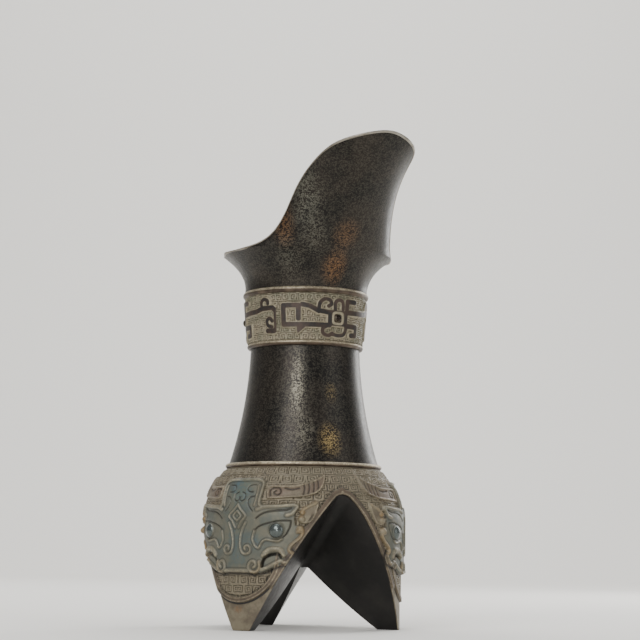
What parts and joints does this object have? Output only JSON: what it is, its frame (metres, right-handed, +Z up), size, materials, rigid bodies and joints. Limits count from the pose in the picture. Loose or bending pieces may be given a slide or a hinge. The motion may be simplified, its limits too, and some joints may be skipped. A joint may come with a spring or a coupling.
{
  "type": "bronze jue vessel",
  "caption": "Cast bronze tripod wine vessel with a tall pouring spout, a flared mouth with a tail, a frieze of dragons, beast masks over hollow pouch legs and a strap handle.",
  "frame": {"origin": "on the vessel's axis, in the plane of the three toe pads", "axes": "+Z up the vessel's axis, +X towards the arch under the spout, +Y completes a right-handed frame"},
  "size_m": [0.1519, 0.0928, 0.205],
  "materials": {
    "polished_bronze": "dark satin bronze",
    "cast_bronze": "cast ground, dusty",
    "brown_bronze": "worn brown bronze",
    "red_brown_bronze": "worn red-brown bronze",
    "patinated_bronze": "grey-green patina with worn edges",
    "eye_bronze": "polished dark bronze"
  },
  "bodies": {
    "root": {"arch_border_1": "brown_bronze", "arch_border_2": "brown_bronze", "arch_border_3": "brown_bronze", "frieze_collar": "cast_bronze", "frieze_dragon_1": "brown_bronze", "frieze_dragon_2": "brown_bronze", "frieze_dragon_3": "brown_bronze", "handle_head": "polished_bronze", "handle_loop": "polished_bronze", "lower_bead": "brown_bronze", "mask_1_brow_left": "patinated_bronze", "mask_1_brow_right": "patinated_bronze", "mask_1_ear_left": "patinated_bronze", "mask_1_ear_right": "patinated_bronze", "mask_1_eye_left": "eye_bronze", "mask_1_eye_right": "eye_bronze", "mask_1_horn_left": "red_brown_bronze", "mask_1_horn_right": "red_brown_bronze", "mask_1_plate": "patinated_bronze", "mask_2_brow_left": "patinated_bronze", "mask_2_brow_right": "patinated_bronze", "mask_2_ear_left": "patinated_bronze", "mask_2_ear_right": "patinated_bronze", "mask_2_eye_left": "eye_bronze", "mask_2_eye_right": "eye_bronze", "mask_2_horn_left": "red_brown_bronze", "mask_2_horn_right": "red_brown_bronze", "mask_2_plate": "patinated_bronze", "mask_3_brow_left": "patinated_bronze", "mask_3_brow_right": "patinated_bronze", "mask_3_ear_left": "patinated_bronze", "mask_3_ear_right": "patinated_bronze", "mask_3_eye_left": "eye_bronze", "mask_3_eye_right": "eye_bronze", "mask_3_horn_left": "red_brown_bronze", "mask_3_horn_right": "red_brown_bronze", "mask_3_plate": "patinated_bronze", "mouth_spout": "polished_bronze", "shoulder_bead": "brown_bronze", "toe_band_1": "brown_bronze", "toe_band_2": "brown_bronze", "toe_band_3": "brown_bronze", "tripod_body": "cast_bronze", "upper_bead": "brown_bronze", "waist": "polished_bronze"}
  },
  "joints": []
}
